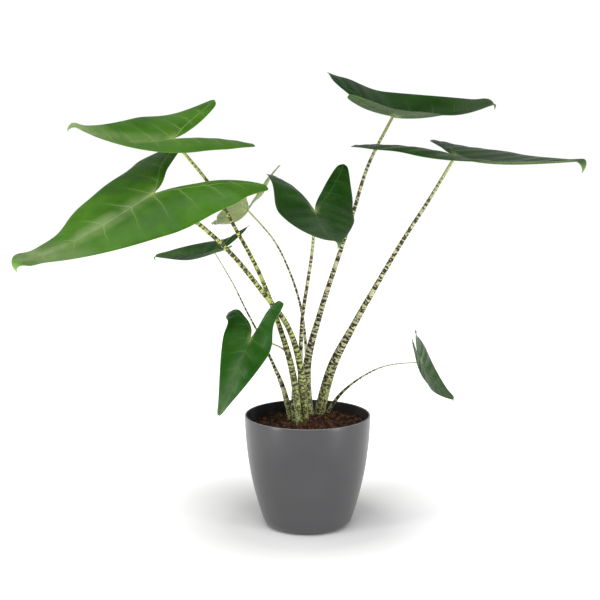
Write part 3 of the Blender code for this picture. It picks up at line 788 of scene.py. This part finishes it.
def swellSheet(work, layers):
    # quilting between the side veins, a groove along the midrib and waves at the margin
    shape = bladeShape
    lift = {}
    for vert in work.verts:
        spineGap, edgeGap, rib, tip, across = (vert[layers[name]] for name in bladeFacts)
        swell = 0.5 - 0.5 * math.cos(2.0 * math.pi * rib)
        body = min(1.0, edgeGap / shape["quiltMargin"]) * min(1.0, spineGap / shape["quiltSpine"])
        crease = math.exp(-(spineGap / shape["creaseWidth"]) ** 2)
        crease *= min(1.0, edgeGap / shape["creaseMargin"])
        calm = min(1.0, max(0.0, (shape["calmEnd"] - tip) / shape["calmLength"]))
        wave = shape["wave"] * math.sin(shape["waveAlong"] * tip + shape["waveRibs"] * rib) * across ** 2
        lift[vert] = calm * (shape["quilt"] * swell * body - shape["crease"] * crease + wave)
    for vert, rise in lift.items():
        vert.co += vert.normal * rise
    work.normal_update()


def bladeThickness(blade, spineGap, edgeGap, tip):
    shape = bladeShape
    taper = min(1.0, edgeGap / shape["edgeTaper"])
    thick = shape["edgeThickness"] + (shape["thickness"] - shape["edgeThickness"]) * taper
    along = max(0.0, 1.0 - max(0.0, tip))
    if tip < 0.0:
        along = max(0.0, 1.0 + tip / shape["midribLobe"]) * shape["lobeRidge"]
    ridge = math.exp(-(spineGap / shape["midribWidth"]) ** 2) * along ** shape["midribPower"]
    ridge *= blade["length"] / shape["usualLength"] * min(1.0, edgeGap / shape["midribMargin"])
    return thick + shape["midribHeight"] * ridge


def thickenSheet(work, layers, blade):
    rim = [edge for edge in work.edges if edge.is_boundary]
    upperFaces = list(work.faces)
    twins = {}
    for vert in list(work.verts):
        gaps = (vert[layers[name]] for name in ("spineGap", "edgeGap", "tipShare"))
        twin = work.verts.new(vert.co - vert.normal * bladeThickness(blade, *gaps))
        for layer in layers.values():
            twin[layer] = vert[layer]
        twins[vert] = twin
    for face in upperFaces:
        under = work.faces.new([twins[v] for v in reversed(face.verts)])
        under.material_index = 1
    for edge in rim:
        loop = edge.link_loops[0]
        a, b = loop.vert, loop.link_loop_next.vert
        work.faces.new((b, a, twins[a], twins[b]))
    bmesh.ops.recalc_face_normals(work, faces=work.faces)


def makeBlade(key, blade):
    points, faces, facts = bladeSheet(blade)
    sheet = bpy.data.meshes.new(key + "Sheet")
    sheet.from_pydata([tuple(p) for p in points], [], faces)
    for index, name in enumerate(bladeFacts):
        layer = sheet.attributes.new(name, "FLOAT", "POINT")
        layer.data.foreach_set("value", [float(fact[index]) for fact in facts])
    work = bmesh.new()
    work.from_mesh(sheet)
    bmesh.ops.remove_doubles(work, verts=work.verts, dist=2e-5)
    bmesh.ops.dissolve_degenerate(work, dist=1e-6, edges=work.edges)
    work.normal_update()
    layers = {name: work.verts.layers.float[name] for name in bladeFacts}
    swellSheet(work, layers)
    thickenSheet(work, layers, blade)
    work.to_mesh(sheet)
    work.free()
    look = blade["look"]
    thing = newObject(key + "Blade", sheet, bladeMaterials[look, True], bladeMaterials[look, False])
    return keep(thing, blade["node"])


stalkShape = {
    "sides": 22,
    "ringGap": 0.0035,
    "swell": (0.0, 0.05, 0.14, 0.26, 0.42, 0.80, 1.0),
    "foot": 0.1439,          # just above the corm
    "samples": 400,
}

stalks = {
    "frontLeft": {
        "node": "stalk_front_left", "look": "green", "radius": (0.0031, 0.0062), "path": (
            (-0.168, -0.098, 0.499), (-0.118, -0.068, 0.449), (-0.073, -0.041, 0.389),
            (-0.0305, -0.018, 0.325), (-0.010, 0.000, 0.248), (-0.004, 0.0125, 0.163)),
    },
    "upperLeft": {
        "node": "stalk_upper_left", "look": "green", "radius": (0.0024, 0.0062), "path": (
            (-0.1515, -0.035, 0.552), (-0.1125, -0.026, 0.483), (-0.0755, -0.018, 0.4105),
            (-0.047, -0.009, 0.332), (-0.0245, 0.000, 0.251), (-0.0135, 0.0025, 0.163)),
    },
    "centre": {
        "node": "stalk_centre", "look": "cream", "radius": (0.0024, 0.0050), "path": (
            (0.007, -0.063, 0.457), (0.000, -0.037, 0.402), (-0.008, -0.013, 0.345),
            (-0.011, 0.008, 0.286), (-0.0115, 0.024, 0.226), (-0.009, 0.028, 0.164)),
    },
    "topRight": {
        "node": "stalk_top_right", "look": "cream", "radius": (0.0024, 0.0080), "path": (
            (0.0975, 0.048, 0.579), (0.0725, 0.046, 0.499), (0.046, 0.043, 0.419),
            (0.0198, 0.040, 0.337), (-0.0005, 0.038, 0.253), (0.003, 0.037, 0.165)),
    },
    "right": {
        "node": "stalk_right", "look": "cream", "radius": (0.0024, 0.0095), "path": (
            (0.187, -0.022, 0.5255), (0.149, -0.004, 0.461), (0.1125, 0.013, 0.3935),
            (0.0755, 0.028, 0.323), (0.0405, 0.041, 0.250), (0.019, 0.051, 0.166)),
    },
    "lowerLeft": {
        "node": "stalk_lower_left", "look": "cream", "radius": (0.0012, 0.0036), "path": (
            (-0.061, -0.020, 0.302), (-0.0355, 0.005, 0.283), (-0.0245, 0.016, 0.254),
            (-0.0235, 0.0155, 0.224), (-0.0235, 0.0155, 0.195), (-0.0215, 0.0165, 0.162)),
    },
    "backLeft": {
        "node": "stalk_back_left", "look": "cream", "radius": (0.0008, 0.0052), "path": (
            (-0.124, 0.071, 0.386), (-0.102, 0.062, 0.343), (-0.079, 0.054, 0.300),
            (-0.058, 0.047, 0.257), (-0.0395, 0.040, 0.213), (-0.027, 0.034, 0.162)),
    },
    "back": {
        "node": "stalk_back", "look": "cream", "radius": (0.0014, 0.0041), "path": (
            (-0.0563, 0.099, 0.4545), (-0.029, 0.088, 0.401), (-0.0112, 0.077, 0.345),
            (-0.003, 0.067, 0.286), (-0.0008, 0.058, 0.225), (-0.002, 0.051, 0.165)),
    },
    "lowerRight": {
        "node": "stalk_lower_right", "look": "cream", "radius": (0.0008, 0.0034), "path": (
            (0.149, 0.030, 0.2578), (0.122, 0.040, 0.250), (0.0965, 0.049, 0.2355),
            (0.073, 0.056, 0.2175), (0.0515, 0.062, 0.195), (0.034, 0.067, 0.166)),
    },
}

stalkColours = {
    # plain ground near the blade, ground lower down, dark bands, olive outline of the bands
    "green": ((0.30, 0.36, 0.09), (0.34, 0.38, 0.10), (0.030, 0.028, 0.010), (0.12, 0.13, 0.036)),
    "cream": ((0.27, 0.32, 0.11), (0.41, 0.41, 0.23), (0.024, 0.017, 0.009), (0.12, 0.11, 0.045)),
}
stalkPattern = {
    "bandAround": 0.42,      # below 1 stretches the marks round the stalk
    "bandGap": 0.0066,       # from one band to the next
    "bandDrift": 1.7,        # how far the bands wander, in bands
    "driftAround": 0.7,
    "driftScale": 85.0,
    "bandScale": 330.0,
    "bandStrength": 0.085,
    "baseAround": 0.85,
    "baseScale": 270.0,
    "baseStart": 0.80,       # share of the stalk's length where the base's smaller marks begin
    "baseRise": 7.0,
    "raggedScale": 1500.0,
    "raggedStrength": 0.03,
    "threshold": 0.482,
    "outline": 0.06,         # how far below the threshold the olive outline starts
    "darkRise": 22.0,
    "outlineRise": 12.0,
    "outlineStrength": 0.55,
    "plainTop": 0.090,       # length under the blade where marks fade in
    "plainRise": 3.0,
    "darkBelow": 0.20,       # length over which they deepen
    "palerTop": 0.55,
    "palerBase": 0.40,
    "sheath": (0.42, 0.46, 0.19),
    "places": (0.0, 0.30, 0.76, 0.92),  # plain top, ground from here to here, sheath
    "roughness": 0.42,
    "gloss": 0.20,
    "grain": 0.0002,
}


def stalkVector(tree, stretch):
    around = addNode(tree, "ShaderNodeCombineXYZ")
    for index, name in enumerate(("aroundX", "aroundY")):
        tree.links.new(mathNode(tree, "MULTIPLY", attribute(tree, name), stretch), around.inputs[index])
    tree.links.new(attribute(tree, "along"), around.inputs[2])
    return around.outputs[0]


def stalkBands(tree, pattern, share, along):
    # bands round the stalk that wander and break up, with smaller marks at the base
    vector = stalkVector(tree, pattern["bandAround"])
    speckle = noise(tree, vector, pattern["bandScale"], 1.2, 0.5, 0.5)
    driftVector = stalkVector(tree, pattern["driftAround"])
    drift = times(tree, noise(tree, driftVector, pattern["driftScale"], 2.0, 0.5), pattern["bandDrift"])
    turns = mathNode(tree, "ADD", mathNode(tree, "DIVIDE", along, pattern["bandGap"]), drift)
    stripe = mathNode(tree, "SINE", times(tree, turns, 2.0 * math.pi))
    bands = mathNode(tree, "MULTIPLY_ADD", stripe, pattern["bandStrength"], speckle)
    small = noise(tree, stalkVector(tree, pattern["baseAround"]), pattern["baseScale"], 1.5, 0.5, 1.2)
    low = above(tree, share, pattern["baseStart"], pattern["baseRise"])
    high = mathNode(tree, "SUBTRACT", 1.0, low)
    mixed = mathNode(tree, "ADD", times(tree, bands, high), times(tree, small, low))
    ragged = noise(tree, vector, pattern["raggedScale"], 2.0, 0.5)
    wobble = mathNode(tree, "SUBTRACT", ragged, 0.5)
    mixed = mathNode(tree, "MULTIPLY_ADD", wobble, pattern["raggedStrength"], mixed)
    left = mathNode(tree, "SUBTRACT", pattern["plainTop"], along)
    thin = mathNode(tree, "MULTIPLY", left, pattern["plainRise"], clamp=True)
    return mathNode(tree, "SUBTRACT", mixed, thin), low, ragged


def stalkMaterial(look):
    material, tree, shader = newMaterial("stalkZebra" + look.capitalize())
    plain, ground, band, outline = stalkColours[look]
    pattern = stalkPattern
    share, along = attribute(tree, "stalkShare"), attribute(tree, "along")
    level, low, ragged = stalkBands(tree, pattern, share, along)
    dark = above(tree, level, pattern["threshold"], pattern["darkRise"])
    soft = above(tree, level, pattern["threshold"] - pattern["outline"], pattern["outlineRise"])
    base = ramp(tree, share, tuple(zip(pattern["places"], (plain, ground, ground, pattern["sheath"]))))
    base = mixColour(tree, times(tree, soft, pattern["outlineStrength"]), base, (*outline, 1.0))
    palerTop = times(tree, nearTo(tree, along, pattern["darkBelow"]), pattern["palerTop"])
    paler = mathNode(tree, "MAXIMUM", palerTop, times(tree, low, pattern["palerBase"]))
    mark = mixColour(tree, paler, (*band, 1.0), (*outline, 1.0))
    tree.links.new(mixColour(tree, dark, base, mark), shader.inputs["Base Color"])
    shader.inputs["Roughness"].default_value = pattern["roughness"]
    shader.inputs["Specular IOR Level"].default_value = pattern["gloss"]
    softenFlesh(shader)
    bump(tree, shader, ragged, pattern["grain"], 0.5)
    return material


def stalkRadius(stalk, share):
    top, base = stalk["radius"]
    places = np.linspace(0.0, 1.0, len(stalkShape["swell"]))
    return top + (base - top) * float(np.interp(share, places, stalkShape["swell"]))


def makeStalk(key, stalk):
    joint = blades[key]["joint"]
    x, y, z = stalk["path"][-1]
    foot = stalkShape["foot"]
    knots = [joint, *stalk["path"], (x, y, 0.5 * (z + foot)), (x, y, foot)]
    soilPlace = len(stalk["path"])
    dense = np.linspace(0.0, soilPlace, stalkShape["samples"])
    line = np.vstack((throughPoints(knots, dense), (x, y, foot)))
    dense = np.append(dense, soilPlace + 1.0)
    lengths = np.concatenate(([0.0], np.cumsum(np.linalg.norm(np.diff(line, axis=0), axis=1))))
    count = int(lengths[-1] / stalkShape["ringGap"])
    stops = np.linspace(0.0, lengths[-1], count)
    places = np.interp(stops, lengths, dense)
    centres = np.stack([np.interp(stops, lengths, line[:, axis]) for axis in range(3)], -1)
    ahead = np.gradient(centres, axis=0)
    ahead /= np.linalg.norm(ahead, axis=1)[:, None]
    ahead[places > soilPlace] = (0.0, 0.0, -1.0)
    rings, facts = [], []
    for centre, forward, place, stop in zip(centres, ahead, places, stops):
        side = np.cross(forward, (0.0, 1.0, 0.0))
        side /= np.linalg.norm(side)
        up = np.cross(side, forward)
        share = min(1.0, place / soilPlace)
        radius = stalkRadius(stalk, share)
        ring = []
        for turn in range(stalkShape["sides"]):
            angle = 2.0 * math.pi * turn / stalkShape["sides"]
            ring.append(centre + radius * (math.cos(angle) * side + math.sin(angle) * up))
            facts.append((stop, share, radius * math.cos(angle), radius * math.sin(angle)))
        rings.append(ring)
    mesh = meshFromRings(key + "Stalk", rings)
    for index, name in enumerate(("along", "stalkShare", "aroundX", "aroundY")):
        layer = mesh.attributes.new(name, "FLOAT", "POINT")
        layer.data.foreach_set("value", [float(fact[index]) for fact in facts])
    thing = newObject(key + "Stalk", mesh, stalkMaterials[stalk["look"]])
    return keep(thing, stalk["node"])


studio = {
    "floorColour": (0.94, 0.94, 0.94, 1.0),
    "floorReach": 7.0,
    "floorDrop": 0.0005,
    "floorGlow": ((0.12, 0.0), (0.44, 0.80)),  # painted light: the floor glows, more strongly away from the pot, so it is darker round the pot
    "glowScale": 2.0,        # distance that the glow's ramp covers
    "horizon": 1.02,         # brightness of the backdrop band
    "room": 0.37,            # brightness of the room above it
    "bandTop": (0.568, 0.60),
    "boxes": (
        # name, place, aim, width, height, power
        ("leftBox", (-1.10, -0.72, 0.30), (0.0, 0.0, 0.08), 0.20, 0.62, 7.5),
        ("rightBox", (1.02, -0.82, 0.30), (0.0, 0.0, 0.08), 0.20, 0.62, 8.0),
        ("topBox", (-0.50, -0.35, 2.1), (-0.1, 0.0, 0.4), 1.1, 0.9, 14.0),
        ("frontBox", (-0.1, -1.5, 2.3), (0.0, 0.0, 0.4), 1.4, 0.9, 19.0),
    ),
}


def makeFloor():
    reach = studio["floorReach"]
    corners = [(-reach, -reach, 0), (reach, -reach, 0), (reach, reach, 0), (-reach, reach, 0)]
    mesh = bpy.data.meshes.new("studioFloor")
    mesh.from_pydata(corners, [], [(0, 1, 2, 3)])
    material, tree, shader = newMaterial("paleFloor")
    shader.inputs["Base Color"].default_value = studio["floorColour"]
    shader.inputs["Roughness"].default_value = 0.9
    shader.inputs["Specular IOR Level"].default_value = 0.2
    away = addNode(tree, "ShaderNodeVectorMath", operation="LENGTH")
    tree.links.new(objectPlace(tree), away.inputs[0])
    # painted light: the floor glows, less near the pot
    shader.inputs["Emission Color"].default_value = (1.0, 1.0, 1.0, 1.0)
    scale = studio["glowScale"]
    stops = [(distance / scale, (glow,) * 3) for distance, glow in studio["floorGlow"]]
    glow = ramp(tree, mathNode(tree, "DIVIDE", away.outputs["Value"], scale), stops)
    tree.links.new(glow, shader.inputs["Emission Strength"])
    floor = newObject("studioFloor", mesh, material)
    floor.location.z = -studio["floorDrop"]


def makeAir():
    world = bpy.data.worlds.new("studioAir")
    world.use_nodes = True
    air = world.node_tree
    height = air.nodes.new("ShaderNodeSeparateXYZ")
    air.links.new(air.nodes.new("ShaderNodeTexCoord").outputs["Generated"], height.inputs[0])
    share = mathNode(air, "MULTIPLY_ADD", height.outputs[2], 0.5, 0.5)
    band, room = (studio["horizon"],) * 3, (studio["room"],) * 3
    colour = ramp(air, share, ((studio["bandTop"][0], band), (studio["bandTop"][1], room)))
    air.links.new(colour, air.nodes["Background"].inputs["Color"])
    scene.world = world


def makeLights():
    for name, place, aim, width, height, power in studio["boxes"]:
        data = bpy.data.lights.new(name, "AREA")
        data.shape = "RECTANGLE"
        data.size, data.size_y = width, height
        data.energy = power
        lamp = bpy.data.objects.new(name, data)
        scene.collection.objects.link(lamp)
        lamp.location = place
        lamp.rotation_euler = (Vector(aim) - Vector(place)).to_track_quat("-Z", "Y").to_euler()


cameraView = {"place": (-0.0122, -1.735, 0.6125), "dip": 0.1405, "lens": 66.0, "sensor": 36.0}


def makeCamera():
    data = bpy.data.cameras.new("studioCamera")
    data.lens = cameraView["lens"]
    data.sensor_width = cameraView["sensor"]
    camera = bpy.data.objects.new("studioCamera", data)
    scene.collection.objects.link(camera)
    camera.location = cameraView["place"]
    camera.rotation_euler = (0.5 * math.pi - cameraView["dip"], 0.0, 0.0)
    scene.camera = camera


makeCamera()
makeFloor()
makeAir()
makeLights()
print("camera and studio set")
makePot()
makeSoil()
makeCrumbs()
makeFibres()
dressCorm()
print("pot and soil made")
faces = [(look, upper) for look in bladeColours for upper in (True, False)]
bladeMaterials = {(look, upper): bladeMaterial(look, upper) for look, upper in faces}
for key, blade in blades.items():
    makeBlade(key, blade)
print("blades made:", len(blades))
stalkMaterials = {look: stalkMaterial(look) for look in stalkColours}
for key, stalk in stalks.items():
    makeStalk(key, stalk)
print("stalks made:", len(stalks))
